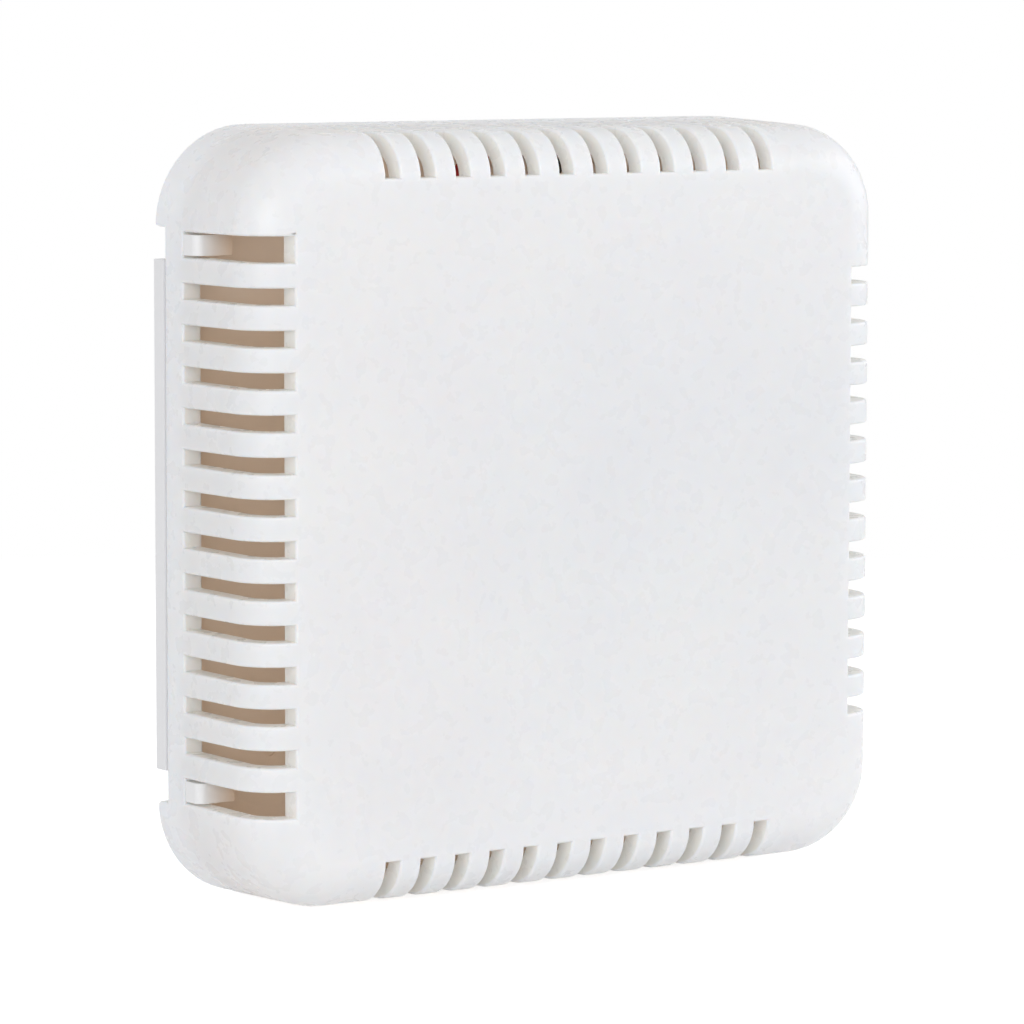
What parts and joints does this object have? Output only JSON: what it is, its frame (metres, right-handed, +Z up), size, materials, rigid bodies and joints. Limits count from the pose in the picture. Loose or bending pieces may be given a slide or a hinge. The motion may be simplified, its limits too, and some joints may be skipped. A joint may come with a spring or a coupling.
{
  "type": "room temperature sensor",
  "caption": "Square wall temperature sensor: a vented clip-fitted cover over a base plate that carries a battery holder and a wireless sensing board.",
  "frame": {"origin": "centre of the back face, in the plane of the wall", "axes": "+Z up, +X to the right as seen from the room, -Y out of the wall towards the room"},
  "size_m": [0.08, 0.0196, 0.08],
  "materials": {
    "cover_plastic": "fine moulded matte",
    "base_plastic": "moulded matte, warmer inside",
    "holder_plastic": "moulded semi-matte",
    "spring_metal": "nickel-plated strip",
    "screw_metal": "zinc-plated",
    "cell_can": "plated can",
    "cell_jacket": "plain two-tone jacket",
    "red_insulation": "soft insulation",
    "black_insulation": "soft insulation",
    "connector_plastic": "natural nylon",
    "pin_metal": "plated pins",
    "board_laminate": "solder mask over glass laminate",
    "shield_metal": "tinned sheet",
    "aerial_copper": "gold-plated trace",
    "chip_plastic": "moulded epoxy",
    "crystal_can": "satin can",
    "capacitor_can": "satin can",
    "ceramic_chip": "fired ceramic",
    "led_lens": "clear epoxy",
    "button_plastic": "moulded"
  },
  "bodies": {
    "base": {"base_plate": "base_plastic", "battery_holder": "holder_plastic", "plus_contact": "spring_metal", "minus_contact": "spring_metal", "bridge_contact": "spring_metal", "holder_screws": "screw_metal", "left_cell": "cell_can", "right_cell": "cell_can", "cell_sleeves": "cell_jacket", "red_lead": "red_insulation", "black_lead": "black_insulation", "lead_plug": "connector_plastic", "lead_header": "connector_plastic", "header_pins": "pin_metal", "circuit_board": "board_laminate", "board_screws": "screw_metal", "radio_module": "board_laminate", "radio_shield": "shield_metal", "radio_antenna": "aerial_copper", "microcontroller": "chip_plastic", "chip_pins": "pin_metal", "memory_chip": "chip_plastic", "crystal": "crystal_can", "voltage_regulator": "chip_plastic", "capacitor_base": "chip_plastic", "capacitor_can": "capacitor_can", "chip_resistors": "chip_plastic", "chip_capacitors": "ceramic_chip", "temperature_sensor": "chip_plastic", "status_led": "led_lens", "button_housing": "button_plastic", "button_frame": "shield_metal"},
    "cover": {"front_cover": "cover_plastic"},
    "upper_latch_arm": {"upper_latch": "base_plastic"},
    "lower_latch_arm": {"lower_latch": "base_plastic"},
    "pairing_button": {"button_plunger": "button_plastic"}
  },
  "joints": [
    {"name": "cover_swing", "type": "hinge", "parent": "base", "child": "cover", "pos_m": [0.04, -0.00025, 0], "axis": [0, 0, 1], "range_deg": [0, 60], "deforming": ["upper_latch", "lower_latch"]},
    {"name": "upper_latch_press", "type": "hinge", "parent": "base", "child": "upper_latch_arm", "pos_m": [-0.03545, -0.002, 0.028], "axis": [0, 0, 1], "range_deg": [0, 15], "stiffness_Nm_per_rad": 0.05},
    {"name": "lower_latch_press", "type": "hinge", "parent": "base", "child": "lower_latch_arm", "pos_m": [-0.03545, -0.002, -0.028], "axis": [0, 0, 1], "range_deg": [0, 15], "stiffness_Nm_per_rad": 0.05},
    {"name": "button_press", "type": "slide", "parent": "base", "child": "pairing_button", "axis": [0, 1, 0], "range_m": [0, 0.00025], "stiffness_N_per_m": 600}
  ]
}
